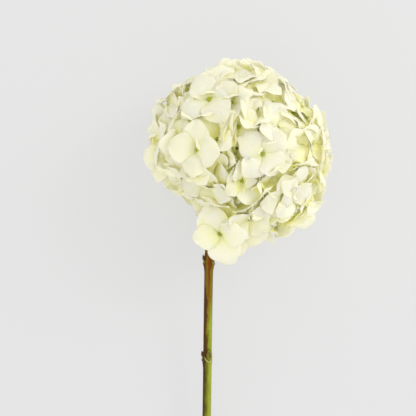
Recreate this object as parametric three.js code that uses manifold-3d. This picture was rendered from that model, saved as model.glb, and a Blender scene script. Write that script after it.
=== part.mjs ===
// A cut mophead hydrangea, lying on a table as it is after cutting: a ball of four-sepalled florets on pedicels, the
// five rays of the flower head that carry them, and a bare woody stem with three pairs of axillary buds.
// Millimetres. +Z is up from the table, +Y runs from the cut end of the stem to the top of the head. The origin is
// under the middle of the whole flower, on the table.
import * as THREE from "three";
import { mergeVertices } from "three/addons/utils/BufferGeometryUtils.js";
import Module from "manifold-3d";

const { sin, cos, tan, abs, min, max, sqrt, exp, PI } = Math;
const { degToRad, seededRandom, lerp } = THREE.MathUtils;
const vec = (x, y, z) => new THREE.Vector3(x, y, z);

// The head is a ball a little wider than it is tall, pressed flat where it rests on the table.
const HEAD_HALF = vec(84, 77, 74);
const HEAD_CENTRE = vec(0, 0, 66);

// The stem enters the head off its middle and ends in the hub, where the rays part.
const HUB = vec(-17, -39, 59);
const HUB_RADIUS = 5;
const STEM_RADIUS = 3.8;
const CUT_END = vec(-31.3, -365, STEM_RADIUS + 0.44); // so that the rim of the slanting stem touches the table
const CUT_SLANT = degToRad(38);
const CUT_REACH = 14; // how far up the stem the slant of the cut is felt
const STEM_SEGMENTS = 14;
// Each node has two buds, at these turns from straight up, to the right.
const NODES_BELOW_HUB = [
  { name: "upper", distance: 66, buds: { left: -92, right: 84 } },
  { name: "middle", distance: 158, buds: { left: -105, front: 16 } },
  { name: "lower", distance: 254, buds: { left: -78, right: 100 } },
];
const NODE_SWELL = 0.9;
const NODE_LENGTH = 3.6;
const SCAR_SWELL = 1.1;
const BUD_RADIUS = 1.4;
const BUD_LENGTH = 5.5;
const BUD_LEAN = degToRad(9);

// Florets. A sepal is about 23 mm long, so a floret is about 46 mm across.
const FLORET_COUNT = 48;
const SEPAL_REACH = 24;
const SEPAL_THICKNESS = 1.1;
const SEPALS = 4;
const FLORET_SEGMENTS = 16;
const CUP_DEPTH = 6; // the eye sits this far below the sepals' tips
const EYE_RADIUS = 2.2;
const EYE_HEIGHT = 1.6;
const LIFT_SPREAD = 3.5; // florets stand this much higher or lower than the ball
const PEDICEL_RADIUS = 1.2;
const PEDICEL_INNER = 54; // from the head's centre to where a pedicel meets its ray
const GAP = 0.3; // between pieces that touch in the real flower
const CELL_GAP = 1.2; // between neighbouring florets

const PRIMARY_RADIUS = 1.7;
const BRANCH_RADIUS = 0.95;
const RAY_AXES = {
  ray_terminal: vec(0, 1, 0),
  ray_left: vec(-1, -0.2, 0.1),
  ray_right: vec(1, -0.25, 0.1),
  ray_front: vec(0, -0.25, 1),
  ray_back: vec(0, -0.25, -1),
};

// A direction from the head's centre: turn is to the right of straight up from the table, rise towards the head's top.
const towards = (turn, rise) => {
  const [t, r] = [degToRad(turn), degToRad(rise)];
  return vec(sin(t) * cos(r), sin(r), cos(t) * cos(r));
};
// The florets that face up from the table most plainly, and the one that the head lies on. The others fill in between.
const LEADING = [
  { at: towards(-27, 31), roll: 45 },
  { at: towards(-29, -5), roll: 10 },
  { at: towards(13, -10), roll: 62 },
  { at: towards(40, -35), roll: 30 },
  { at: towards(12, -56), roll: 20, lift: 2 },
  { at: towards(-37, -58), roll: 70, lift: 8 },
  { at: towards(-72, 2), roll: 0 },
  { at: towards(26, 30), roll: 35 },
  { at: towards(180, 0), roll: 15, lift: 3 },
];

const MATERIALS = {
  sepal: new THREE.MeshStandardMaterial({ color: 0xf0ebd4, roughness: 0.6, metalness: 0 }),
  ray: new THREE.MeshStandardMaterial({ color: 0xc4cc7a, roughness: 0.55, metalness: 0 }),
  stem: new THREE.MeshStandardMaterial({ color: 0x7c7a28, roughness: 0.5, metalness: 0 }),
  bud: new THREE.MeshStandardMaterial({ color: 0x6a4317, roughness: 0.6, metalness: 0 }),
};

const wasm = await Module();
wasm.setup();

const solidOf = (geometry) => {
  const bare = geometry.clone();
  bare.deleteAttribute("normal");
  bare.deleteAttribute("uv");
  const merged = mergeVertices(bare, 1e-3);
  const vertProperties = merged.attributes.position.array;
  const triVerts = new Uint32Array(merged.index.array);
  return new wasm.Manifold(new wasm.Mesh({ numProp: 3, vertProperties, triVerts }));
};

const geometryOf = (solid) => {
  const { vertProperties, triVerts } = solid.getMesh();
  const geometry = new THREE.BufferGeometry();
  geometry.setAttribute("position", new THREE.BufferAttribute(vertProperties, 3));
  geometry.setIndex(new THREE.BufferAttribute(triVerts, 1));
  geometry.computeVertexNormals();
  return geometry;
};

const tube = (curve, radius, sides, steps) => {
  const section = new THREE.Shape();
  for (let i = 0; i < sides; i++) {
    const a = (2 * PI * i) / sides;
    if (i) section.lineTo(radius * cos(a), radius * sin(a));
    else section.moveTo(radius, 0);
  }
  section.closePath();
  return new THREE.ExtrudeGeometry(section, { steps, extrudePath: curve });
};

const flower = new THREE.Group();
const addPiece = (name, geometry, material) => {
  const mesh = new THREE.Mesh(geometry, material);
  mesh.name = name;
  flower.add(mesh);
};

// ---------------------------------------------------------------- stem and buds

const stemCurve = new THREE.CatmullRomCurve3([
  CUT_END,
  vec(-30.5, -280, 18.2),
  vec(-29.2, -190, 32.6),
  vec(-27.8, -100, 47.6),
  vec(-24.8, -66, 53.8),
  HUB,
]);
const STEM_LENGTH = stemCurve.getLength();

// A point beside the stem: so far from the cut end, so far out from the middle, at a turn from straight up.
const besideStem = (along, out, turn) => {
  const t = min(max(along / STEM_LENGTH, 0), 1);
  const centre = stemCurve.getPointAt(t);
  const forward = stemCurve.getTangentAt(t);
  const side = forward.clone().cross(vec(0, 0, 1)).normalize();
  const up = side.clone().cross(forward);
  const point = centre.addScaledVector(side, out * sin(turn)).addScaledVector(up, out * cos(turn));
  return { point: point.addScaledVector(forward, along - t * STEM_LENGTH), forward, side, up };
};

const bell = (x, width) => exp(-((x / width) ** 2));
const turnBetween = (a, b) => abs(((((a - b) % (2 * PI)) + 3 * PI) % (2 * PI)) - PI);

const stemSwell = (along, turn) => {
  let swell = 0;
  for (const node of NODES_BELOW_HUB) {
    const s = along - (STEM_LENGTH - node.distance);
    swell += NODE_SWELL * bell(s, NODE_LENGTH);
    for (const at of Object.values(node.buds)) {
      swell += SCAR_SWELL * bell(s + 3, 2.2) * bell(turnBetween(turn, degToRad(at)), 0.6);
    }
  }
  return swell;
};

const stemProfile = () => {
  const stations = [0, 5, 14];
  for (const { distance } of [...NODES_BELOW_HUB].reverse()) {
    for (const step of [-9, -5, -3, -1, 2, 6]) stations.push(STEM_LENGTH - distance + step);
  }
  stations.push(STEM_LENGTH - 38, STEM_LENGTH - 24, STEM_LENGTH - 12);
  const knob = [-8, -3, 2, 4.4].map((s) => [s < 0 ? lerp(HUB_RADIUS, STEM_RADIUS, -s / 9) : sqrt(25 - s * s), s]);
  return [
    new THREE.Vector2(0, 0),
    ...stations.sort((a, b) => a - b).map((s) => new THREE.Vector2(STEM_RADIUS, s)),
    ...knob.map(([r, s]) => new THREE.Vector2(r, STEM_LENGTH + s)),
    new THREE.Vector2(0, STEM_LENGTH + HUB_RADIUS),
  ];
};

const buildStem = () => {
  const geometry = new THREE.LatheGeometry(stemProfile(), STEM_SEGMENTS);
  const position = geometry.attributes.position;
  for (let i = 0; i < position.count; i++) {
    const [x, along, z] = [position.getX(i), position.getY(i), position.getZ(i)];
    const turn = Math.atan2(x, z);
    const out = sqrt(x * x + z * z);
    const swollen = out > 0.1 ? out + stemSwell(along, turn) : out;
    const slant = z * tan(CUT_SLANT) * max(0, 1 - along / CUT_REACH);
    const { point } = besideStem(along + slant, swollen, turn);
    position.setXYZ(i, point.x, point.y, point.z);
  }
  addPiece("stem", geometryOf(solidOf(geometry)), MATERIALS.stem);
};

const buildBuds = () => {
  for (const node of NODES_BELOW_HUB) {
    for (const [side, degrees] of Object.entries(node.buds)) {
      const turn = degToRad(degrees);
      const along = STEM_LENGTH - node.distance;
      const outline = [
        [0, 0],
        [0.7, 0.4],
        [1, 1.9],
        [0.82, 3.6],
        [0.36, 5.1],
        [0, BUD_LENGTH],
      ];
      const profile = outline.map(([r, s]) => new THREE.Vector2(r * BUD_RADIUS, s));
      const bud = new THREE.LatheGeometry(profile, 8);
      const out = STEM_RADIUS + NODE_SWELL + BUD_RADIUS + GAP;
      const { point, forward, side: across, up } = besideStem(along, out, turn);
      const outward = across.multiplyScalar(sin(turn)).addScaledVector(up, cos(turn));
      const axis = forward.multiplyScalar(cos(BUD_LEAN)).addScaledVector(outward, sin(BUD_LEAN));
      bud.applyQuaternion(new THREE.Quaternion().setFromUnitVectors(vec(0, 1, 0), axis.normalize()));
      bud.translate(point.x, point.y, point.z);
      addPiece(`bud_${node.name}_${side}`, geometryOf(solidOf(bud)), MATERIALS.bud);
    }
  }
};

// ---------------------------------------------------------------- where the florets stand

// Where the stem leaves the ball, as a direction that no floret takes.
const STEM_WAY = vec(-26.5, -80, -14).normalize();

const floretPlaces = () => {
  const florets = LEADING.map((f) => ({ ...f, roll: degToRad(f.roll) }));
  const golden = PI * (3 - sqrt(5));
  const free = FLORET_COUNT - LEADING.length;
  for (let i = 0; i < free; i++) {
    const y = 1 - (2 * i + 1) / free;
    const a = golden * i;
    const ring = sqrt(1 - y * y);
    florets.push({ at: vec(ring * sin(a), y, ring * cos(a)), roll: golden * i });
  }
  // The free florets push off all the others and off the stem until they are evenly spread.
  for (let round = 0; round < 160; round++) {
    const push = 0.012 * (1 - round / 200);
    for (const f of florets.slice(LEADING.length)) {
      const move = vec(0, 0, 0);
      for (const other of [...florets.map((g) => g.at), STEM_WAY]) {
        if (other === f.at) continue;
        const away = f.at.clone().sub(other);
        move.addScaledVector(away, 1 / max(away.length(), 0.05) ** 4);
      }
      f.at.addScaledVector(move.clampLength(0, 6), push).normalize();
    }
  }
  florets.forEach((f, i) => (f.lift ??= LIFT_SPREAD * (2 * seededRandom(i + 11) - 1)));
  return florets;
};

const ballRadius = (way) => {
  const { x, y, z } = HEAD_HALF;
  return 1 / sqrt((way.x / x) ** 2 + (way.y / y) ** 2 + (way.z / z) ** 2);
};
// How far a point that way may be from the head's centre before it meets the table.
const tableLimit = (way) => (way.z < 0 ? HEAD_CENTRE.z / -way.z : Infinity);

// ---------------------------------------------------------------- florets

// How far a sepal may reach that way before it meets the next floret's share of the ball.
const cellReach = (floret, florets, outward, radius) => {
  let reach = SEPAL_REACH;
  for (const other of [...florets.map((g) => g.at), STEM_WAY]) {
    if (other === floret.at) continue;
    const across = outward.dot(other);
    if (across <= 0) continue;
    const share = (radius * (1 - floret.at.dot(other))) / across;
    reach = min(reach, share - CELL_GAP / 2);
  }
  return reach;
};

const buildFloret = (name, floret, florets) => {
  const radius = ballRadius(floret.at);
  const east = vec(0, 1, 0).cross(floret.at).normalize();
  const north = floret.at.clone().cross(east);
  // Each ring of the floret, from the pedicel's inner end round the sepals' rim to the eye: how far out, as a share
  // of the sepal's reach or in millimetres, and how deep below the ball.
  const rings = [
    { out: 0, inner: true },
    { out: PEDICEL_RADIUS, inner: true },
    { out: PEDICEL_RADIUS, depth: CUP_DEPTH, under: 1.5 },
    { share: 1, depth: 0, under: 1 },
    { share: 1, depth: 0, under: 0 },
    { out: EYE_RADIUS, depth: CUP_DEPTH, under: 0 },
    { out: 0, depth: CUP_DEPTH - EYE_HEIGHT, under: 0 },
  ];
  const profile = rings.map((r, i) => new THREE.Vector2(r.out ?? 10, i));
  const geometry = new THREE.LatheGeometry(profile, FLORET_SEGMENTS);
  const position = geometry.attributes.position;
  for (let i = 0; i < position.count; i++) {
    const segment = Math.floor(i / rings.length) % FLORET_SEGMENTS;
    const ring = rings[i % rings.length];
    const turn = (2 * PI * segment) / FLORET_SEGMENTS;
    const outward = east.clone().multiplyScalar(cos(turn + floret.roll));
    outward.addScaledVector(north, sin(turn + floret.roll));
    // 1 on a sepal's midline, 0 in the notch between two sepals.
    const onSepal = abs(cos((SEPALS * turn) / 2));
    const lobe = 0.66 + 0.34 * onSepal ** 0.5;
    const out = ring.share ? lobe * cellReach(floret, florets, outward, radius) : ring.out;
    const way = floret.at.clone().multiplyScalar(radius).addScaledVector(outward, out).normalize();
    const notch = ring.share ? 3 * (1 - onSepal) : 0;
    const top = min(ballRadius(way) + floret.lift - (ring.depth ?? 0) - notch, tableLimit(way));
    const distance = ring.inner ? PEDICEL_INNER : top - ring.under * SEPAL_THICKNESS;
    const point = HEAD_CENTRE.clone().addScaledVector(way, distance);
    position.setXYZ(i, point.x, point.y, point.z);
  }
  addPiece(name, geometryOf(solidOf(geometry)), MATERIALS.sepal);
};

// ---------------------------------------------------------------- rays

const buildRay = (name, axis, members) => {
  const ends = members.map((f) => HEAD_CENTRE.clone().addScaledVector(f.at, PEDICEL_INNER - GAP));
  const middle = ends.reduce((sum, p) => sum.add(p), vec(0, 0, 0)).divideScalar(ends.length);
  const fork = HUB.clone().lerp(middle, 0.5);
  const outward = fork.clone().sub(HUB).normalize();
  const root = HUB.clone().addScaledVector(outward, HUB_RADIUS + GAP + 0.2);
  const beyond = fork.clone().addScaledVector(outward, 1.5);
  let ray = solidOf(tube(new THREE.LineCurve3(root, beyond), PRIMARY_RADIUS, 7, 2));
  members.forEach((f, i) => {
    const bend = HEAD_CENTRE.clone().addScaledVector(f.at, PEDICEL_INNER - 16);
    const branch = new THREE.QuadraticBezierCurve3(fork, bend, ends[i]);
    ray = ray.add(solidOf(tube(branch, BRANCH_RADIUS, 5, 5)));
  });
  addPiece(name, geometryOf(ray), MATERIALS.ray);
};

const rayOf = (floret) => {
  const names = Object.keys(RAY_AXES);
  const nearness = names.map((n) => RAY_AXES[n].clone().normalize().dot(floret.at));
  return names[nearness.indexOf(max(...nearness))];
};

// ---------------------------------------------------------------- the whole flower

buildStem();
buildBuds();
const florets = floretPlaces();
florets.forEach((f, i) => buildFloret(`floret_${String(i + 1).padStart(2, "0")}`, f, florets));
for (const [name, axis] of Object.entries(RAY_AXES)) {
  buildRay(name, axis, florets.filter((f) => rayOf(f) === name));
}

const box = new THREE.Box3().setFromObject(flower);
const middle = box.getCenter(vec(0, 0, 0));
flower.position.set(-middle.x, -middle.y, -box.min.z);

export default flower;
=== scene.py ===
import math

import bpy
import numpy as np
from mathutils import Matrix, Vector


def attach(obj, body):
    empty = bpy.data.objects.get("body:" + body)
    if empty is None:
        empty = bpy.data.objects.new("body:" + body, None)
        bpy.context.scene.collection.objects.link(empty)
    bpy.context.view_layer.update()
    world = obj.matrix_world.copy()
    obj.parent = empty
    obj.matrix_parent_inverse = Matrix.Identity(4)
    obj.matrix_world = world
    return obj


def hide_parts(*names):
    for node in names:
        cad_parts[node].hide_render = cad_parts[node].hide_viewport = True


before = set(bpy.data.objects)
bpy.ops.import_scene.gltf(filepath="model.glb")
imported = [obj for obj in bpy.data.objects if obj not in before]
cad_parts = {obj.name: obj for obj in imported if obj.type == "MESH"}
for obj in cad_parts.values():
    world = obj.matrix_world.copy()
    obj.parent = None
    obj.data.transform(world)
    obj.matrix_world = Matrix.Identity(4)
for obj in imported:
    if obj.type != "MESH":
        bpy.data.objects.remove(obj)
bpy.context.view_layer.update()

rng = np.random.default_rng(7)

# Lengths in this script are millimetres in the row frame until a mesh is made.
MM = 0.001


def node_points(name):
    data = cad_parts[name].data
    points = np.empty(len(data.vertices) * 3)
    data.vertices.foreach_get("co", points)
    return points.reshape(-1, 3) / MM


def unit(v):
    return v / np.maximum(np.linalg.norm(v, axis=-1, keepdims=True), 1e-9)


def smooth(t):
    t = np.clip(t, 0, 1)
    return t * t * (3 - 2 * t)


def circle(n):
    return np.arange(n) * 2 * math.pi / n


def bell(x, width):
    return np.exp(-((x / width) ** 2))


def spline_matrix(n, m):
    """Rows that turn n evenly spaced values into m, by Catmull-Rom, going straight on at the ends."""
    rows = np.zeros((m, n + 2))
    for r, t in enumerate(np.linspace(0, n - 1, m)):
        k = min(int(t), n - 2)
        f = t - k
        rows[r, k : k + 4] = (
            -0.5 * f + f * f - 0.5 * f**3,
            1 - 2.5 * f * f + 1.5 * f**3,
            0.5 * f + 2 * f * f - 1.5 * f**3,
            -0.5 * f * f + 0.5 * f**3,
        )
    for end, first, second in ((0, 1, 2), (-1, -2, -3)):
        rows[:, first] += 2 * rows[:, end]
        rows[:, second] -= rows[:, end]
    return np.ascontiguousarray(rows[:, 1:-1])


def in_scene(name, data):
    obj = bpy.data.objects.new(name, data)
    bpy.context.scene.collection.objects.link(obj)
    return obj


# ---------- the head, as the CAD gives it

FLORET_NODES = sorted(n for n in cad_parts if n.startswith("floret_"))
HEAD_HALF = np.array([84.0, 77.0, 74.0])
PEDICEL_INNER = 54.0  # how far from the head's centre the CAD's pedicels start
PEDICEL_START = 4.0  # this length of a pedicel tells its direction
STEM_RADIUS = 3.8
HUB_RADIUS = 5.0
STEM_SAMPLES = 400

# The stem's middle line from its cut end to the hub, from the head's centre.
STEM_COURSE = np.array(
    [
        (-31.3, -365, -61.76),
        (-30.5, -280, -47.8),
        (-29.2, -190, -33.4),
        (-27.8, -100, -18.4),
        (-24.8, -66, -12.2),
        (-17, -39, -7),
    ]
)
# The course starts at the middle of the cut: the CAD stem's vertex nearest this place.
CUT_RIM, CUT_INSET, CUT_HEIGHT = 6, 2.3, 4.24
stem_points = node_points("stem")
foot = stem_points[:, 1].min()
cut_rim = stem_points[stem_points[:, 1] < foot + CUT_RIM]
cut_place = np.array([(cut_rim[:, 0].max() + cut_rim[:, 0].min()) / 2, foot + CUT_INSET, CUT_HEIGHT])
cut_middle = stem_points[np.linalg.norm(stem_points - cut_place, axis=1).argmin()]
HEAD_CENTRE = cut_middle - STEM_COURSE[0]


def ball_radius(way):
    """How far the plain ball of the head reaches that way."""
    return 1 / np.sqrt(((way / HEAD_HALF) ** 2).sum(-1))


def towards(turn, rise):
    """A direction: turn is to the right of straight up from the table, rise is towards the head's top."""
    t, r = math.radians(turn), math.radians(rise)
    return np.array([math.sin(t) * math.cos(r), math.sin(r), math.cos(t) * math.cos(r)])


def cad_floret(name):
    """The direction from the head's centre in which a CAD floret's stalk and eye lie."""
    rel = node_points(name) - HEAD_CENTRE
    return unit(rel[np.linalg.norm(rel, axis=1) < PEDICEL_INNER + PEDICEL_START].mean(0))


def stem_line(steps):
    """Points along the stem's middle line, evenly spaced, and its length."""
    path = spline_matrix(len(STEM_COURSE), STEM_SAMPLES) @ STEM_COURSE + HEAD_CENTRE
    run = np.concatenate([[0], np.cumsum(np.linalg.norm(np.diff(path, axis=0), axis=1))])
    even = np.linspace(0, run[-1], steps) if np.isscalar(steps) else steps
    return np.stack([np.interp(even, run, path[:, axis]) for axis in range(3)], 1), run[-1]


# ---------- where florets stand

# How the first CAD florets sit: where (turn, rise), how far out, where they face, size, roll.
LEADING = [
    ((-28, 32), 3, (-14, 18), 1.04, 40),
    ((-32, -5), 4, (-26, -2), 0.92, 80),
    ((14, -8), 6, (12, -4), 0.98, 50),
    ((38, -37), 4, (34, -32), 0.88, 20),
    ((11, -62), 4, (12, -44), 0.86, 65),
    ((-33, -67), 17, (-12, -18), 1.08, 104),
]
# Florets that show between them: turn, rise, out, where they face, size, roll.
EXTRA_LEADING = [
    (-26, -74, 12, (-4, -24), 1.25, -4),
    (25, 10, 3, (34, 18), 0.86, 20),
    (44, -30, 4, (44, -32), 0.8, 75),
    (-19, 16, -11, (62, 26), 0.85, 10),
    (-8, 8, -9, (-76, 12), 0.85, 50),
    (-13, -3, -10, (72, 4), 0.8, 20),
    (-4, -8, -8, (-74, -4), 0.8, 70),
    (-8, -17, -8, (70, -14), 0.85, 40),
    (3, -24, -9, (-72, -20), 0.8, 60),
    (2, -38, -9, (64, -34), 0.8, 30),
    (-60, 22, -2, (-62, 12), 0.85, 30),
    (-52, -20, -3, (-55, -30), 0.85, 60),
    (45, 22, -2, (55, 32), 0.85, 10),
    (60, 0, -3, (60, 0), 0.85, 50),
    (-5, 56, -3, (-5, 66), 0.85, 10),
]
CLEFT = [towards(-12, 10), towards(-5, -16)]
STEM_WAY = unit(np.array([-26.5, -80.0, -14.0]))
TILT = 0.36
# Layers of florets between and under those: how many, depths, sizes, and how much more they lean.
LAYERS = [(118, (10, 18), (0.72, 0.92), 1.4), (50, (22, 34), (0.6, 0.74), 1.8)]
OUTER_LAYER = 20  # a layer that starts at less than this depth lies between the CAD's florets
EYE_DEPTH = 10  # of the leading florets, below the head's outline
CAD_DEPTHS, CAD_SIZES = (9, 14), (0.76, 0.96)  # of the other CAD florets
FIRM_LEADING, FIRM_EXTRA, LOOSE = 6.0, 5.0, 1.0  # how firmly florets keep their places as they grow
CANDIDATES, SCATTER = 1500, 0.03
LOWEST_EYE = 4.0
# Florets with eyes lower than this keep this share of their lean.
NEAR_TABLE, TABLE_LEAN = 22, 0.3


def spiral(count):
    i = np.arange(count)
    y = 1 - (2 * i + 1) / count
    ring = np.sqrt(1 - y * y)
    turn = i * math.pi * (3 - math.sqrt(5))
    return np.stack([ring * np.sin(turn), y, ring * np.cos(turn)], 1)


# Where the head departs from the plain ball: turn, rise, how far outward, and how wide in radians.
LOBES = [
    (84, -48, 12, 0.34),
    (90, -14, -3, 0.4),
    (-90, -26, -5, 0.4),
    (90, 38, -12, 0.55),
    (-90, -52, -15, 0.38),
    (-80, 62, -4, 0.4),
    (-60, -58, -13, 0.3),
]
# Here sepals hang in front of the stem.
HANGING = (-26, -76, 24, 0.42)


def head_shape(way, lobes=LOBES):
    """How much further out than the plain ball the head reaches that way."""
    total = 0.0
    for turn, rise, size, width in lobes:
        total = total + size * bell(np.arccos(np.clip(way @ towards(turn, rise), -1, 1)), width)
    return total


def loose_floret(way, lean, depths, size_range):
    """A floret with a random facing, roll, depth and size."""
    facing, roll = unit(way + rng.normal(0, lean, 3)), rng.uniform(0, math.pi / 2)
    out = ball_radius(way) - rng.uniform(*depths) + head_shape(way)
    return way, out, facing, rng.uniform(*size_range), roll, LOOSE


def place_florets():
    """All florets' directions, facings, eyes, rolls, sizes and firmness, the CAD's first."""
    rows = []
    for k, name in enumerate(FLORET_NODES):
        if k < len(LEADING):
            at, lift, facing, size, roll = LEADING[k]
            way = towards(*at)
            out = ball_radius(way) - EYE_DEPTH + lift
            rows.append((way, out, towards(*facing), size, math.radians(roll), FIRM_LEADING))
        else:
            rows.append(loose_floret(cad_floret(name), TILT, CAD_DEPTHS, CAD_SIZES))
    for turn, rise, lift, facing, size, roll in EXTRA_LEADING:
        way = towards(turn, rise)
        out = ball_radius(way) - EYE_DEPTH + lift + head_shape(way)
        rows.append((way, out, towards(*facing), size, math.radians(roll), FIRM_EXTRA))
    candidates = spiral(CANDIDATES)
    for count, depths, size_range, more in LAYERS:
        between = depths[0] < OUTER_LAYER
        layer = rows if between else []
        kept_free = CLEFT + [STEM_WAY] if between else [STEM_WAY]
        for _ in range(count):
            taken = np.array([row[0] for row in layer] + kept_free)
            freest = candidates[(candidates @ taken.T).max(1).argmin()]
            way = unit(freest + rng.normal(0, SCATTER, 3))
            layer.append(loose_floret(way, more * TILT, depths, size_range))
        rows = layer if between else rows + layer
    ways, outs, facings, sizes, rolls, firm = (np.array([row[k] for row in rows]) for k in range(6))
    eyes = HEAD_CENTRE + ways * outs[:, None]
    eyes[:, 2] = np.maximum(eyes[:, 2], LOWEST_EYE)
    facings = np.where(eyes[:, 2:] < NEAR_TABLE, unit(ways + TABLE_LEAN * (facings - ways)), facings)
    return ways, facings, eyes, rolls, sizes, firm


# ---------- a sepal at rest

GRID = 6
SEPAL_LENGTH = 25.0
EYE_GAP = 1.0  # from the eye's middle to a sepal's base
# A sepal's outline: how far its tip is drawn out, its breadth, and how that falls off along it.
TIP_DRAWN, BREADTH, TAPER, ROUNDING = 0.09, 1.04, 0.06, 0.14
RIM_WAVES = 2.6
CURL_POWER = 1.4


def disc(n):
    """A square grid of n by n pulled to a disc: along is -1 at the base and 1 at the tip."""
    u, v = np.meshgrid(np.linspace(-1, 1, n), np.linspace(-1, 1, n), indexing="ij")
    return u * np.sqrt(1 - v * v / 2), v * np.sqrt(1 - u * u / 2)


def sepals_at_rest(n, shape):
    """Sepals as n by n grids, flat round the eye and then bent up by their cup and down by their curl."""
    along, across = disc(n)
    s = (along + 1) / 2
    x_flat = s + TIP_DRAWN * np.maximum(along, 0) ** 2 * (1 - np.abs(across)) ** 1.5
    y_flat = across / 2 * (BREADTH - TAPER * along - ROUNDING * along * along)
    edge = np.hypot(along, across) ** 3
    round_rim = np.arctan2(across, along + 0.3)
    t = np.linspace(0, 1.1, 30)
    out = np.empty((len(shape), n, n, 3))
    for i, (length, width, cup, curl, trough, skew, lift, wave, phase) in enumerate(shape):
        angle = cup - curl * t**CURL_POWER
        mid_x = np.concatenate([[0], np.cumsum(np.cos(angle[:-1]) * np.diff(t))])
        mid_z = np.concatenate([[0], np.cumsum(np.sin(angle[:-1]) * np.diff(t))])
        x = EYE_GAP + length * np.interp(x_flat, t, mid_x)
        z = length * np.interp(x_flat, t, mid_z)
        y = width * y_flat
        z = z + trough * (2 * y_flat) ** 2 * s + lift + wave * edge * np.sin(RIM_WAVES * round_rim + phase)
        c, w = math.cos(skew), math.sin(skew)
        out[i] = np.stack([c * x - w * y, w * x + c * y, z], -1)
    return out


def turned(points, turn):
    c, s = np.cos(turn), np.sin(turn)
    x, y = points[..., 0], points[..., 1]
    return np.stack([c * x - s * y, s * x + c * y, points[..., 2]], -1)


# ---------- growth

GROW_STEPS = 90
SETTLE_STEPS = 30
OPENING_DELAY = 10
START_SIZE = 0.4
PAIR_STEPS = 3  # close pairs are looked up again after this many steps
# How strongly a sepal's base and blade follow the floret, and how long the base is.
HOLD_BASE, HOLD_BLADE, BASE_END = 0.7, 0.02, 0.12
FACING_STIFFNESS = 1.2
EYE_PULL, EYE_PULL_MOST = 0.12, 0.4
HINGE_STIFFNESS = 0.25
BEND_KEPT, RELAX_ROUNDS = 0.93, 3
# How far apart grown sepals keep, and the share of that within one floret.
CONTACT, OWN_CONTACT = 1.7, 0.5
PAIR_REACH, REACH_START, REACH_GROWTH = 6.5, 0.4, 3.6
OUTER_PART = 0.35  # sepals of one floret touch only beyond this share of their length
TOUCH_HEIGHT = 3.0
PUSH_SHARING = 0.6
STEM_CLEARANCE = 7.5
STEM_BEADS, BEADS_IN_HEAD = 60, 18
TABLE_CLEARANCE = 0.7
OUTLINE_PULL = 0.15
OVERHANG = (-2.5, 4.0)  # how far a floret's sepals may stand out of the head's outline, from and to
FREE_OVERHANG = 20.0


def smoothing(n, rounds, weight):
    """A matrix that smooths a field over an n by n grid."""
    size = n * n
    step = np.zeros((size, size))
    for i in range(n):
        for j in range(n):
            around = [(i + 1, j), (i - 1, j), (i, j + 1), (i, j - 1)]
            near = [(a, b) for a, b in around if 0 <= a < n and 0 <= b < n]
            step[i * n + j, i * n + j] = 1 - weight
            for a, b in near:
                step[i * n + j, a * n + b] = weight / len(near)
    return np.linalg.matrix_power(step, rounds)


def rotations(covariance):
    """The rotation nearest to each matrix."""
    u, _, vt = np.linalg.svd(covariance)
    flip = np.sign(np.linalg.det(u @ vt))
    u = u.copy()
    u[:, :, 2] *= flip[:, None]
    return u @ vt


def close_pairs(x, reach):
    """Pairs of points nearer than reach, by sorting them into cells."""
    cell = np.floor((x - x.min(0)) / reach).astype(np.int64) + 1
    dims = cell.max(0) + 2
    key = (cell[:, 0] * dims[1] + cell[:, 1]) * dims[2] + cell[:, 2]
    order = np.argsort(key, kind="stable")
    sorted_key = key[order]
    found_i, found_j = [], []
    index = np.arange(len(x))
    for dx in (-1, 0, 1):
        for dy in (-1, 0, 1):
            shift = (dx * dims[1] + dy) * dims[2]
            first = np.searchsorted(sorted_key, key + shift - 1, "left")
            last = np.searchsorted(sorted_key, key + shift + 1, "right")
            count = last - first
            i = np.repeat(index, count)
            start = np.repeat(first - np.concatenate([[0], np.cumsum(count)[:-1]]), count)
            j = order[start + np.arange(len(i))]
            keep = j > i
            found_i.append(i[keep])
            found_j.append(j[keep])
    i, j = np.concatenate(found_i), np.concatenate(found_j)
    near = ((x[i] - x[j]) ** 2).sum(1) < reach * reach
    return i[near], j[near]


KEYS = 5
BUD_CUP = 1.25  # how steeply closed sepals stand, in radians


def opening(n, shape, rolls):
    """The florets' rest shapes from closed to open, at full size, in KEYS steps."""
    frames = []
    for key in np.linspace(0, 1, KEYS):
        at_key = [
            (length, width, cup + (1 - key) * (BUD_CUP - cup), key * curl, *others)
            for length, width, cup, curl, *others in shape
        ]
        rest = sepals_at_rest(n, at_key).reshape(len(rolls), 4, n * n, 3)
        for k in range(4):
            rest[:, k] = turned(rest[:, k], (rolls + k * math.pi / 2)[:, None])
        frames.append(rest)
    return frames


def turn_florets(x, q, eyes, stand, firm):
    """Each floret as a whole turns and shifts a little on its pedicel."""
    count = len(eyes)
    flat_x, flat_q = x.reshape(count, -1, 3), q.reshape(count, -1, 3)
    mean_x, mean_q = flat_x.mean(1), flat_q.mean(1)
    cov = np.einsum("fpi,fpj->fij", flat_x - mean_x[:, None], flat_q - mean_q[:, None])
    stiff = np.linalg.norm(flat_q - mean_q[:, None], axis=2).sum(1) * FACING_STIFFNESS * firm
    turn = rotations(cov + stiff[:, None, None] * stand)
    origin = mean_x - np.einsum("fij,fj->fi", turn, mean_q)
    pull = eyes - origin
    return origin + np.minimum(EYE_PULL * firm, EYE_PULL_MOST)[:, None] * pull, turn


def bend_sepals(x, q, origin, turn, relax):
    """Each sepal hinges at the eye and bends smoothly."""
    arm = (x - origin[:, None, None]).reshape(-1, len(relax), 3)
    q4 = q.reshape(arm.shape)
    cov = np.einsum("spi,spj->sij", arm, q4)
    hinge = (np.linalg.norm(q4, axis=2) ** 2).sum(1) * HINGE_STIFFNESS
    bent = rotations(cov + hinge[:, None, None] * np.repeat(turn, 4, 0))
    goal = np.einsum("sij,spj->spi", bent, q4)
    off = np.einsum("pq,sqi->spi", relax, arm - goal)
    arm = goal + BEND_KEPT * off
    return arm.reshape(x.shape) + origin[:, None, None]


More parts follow.
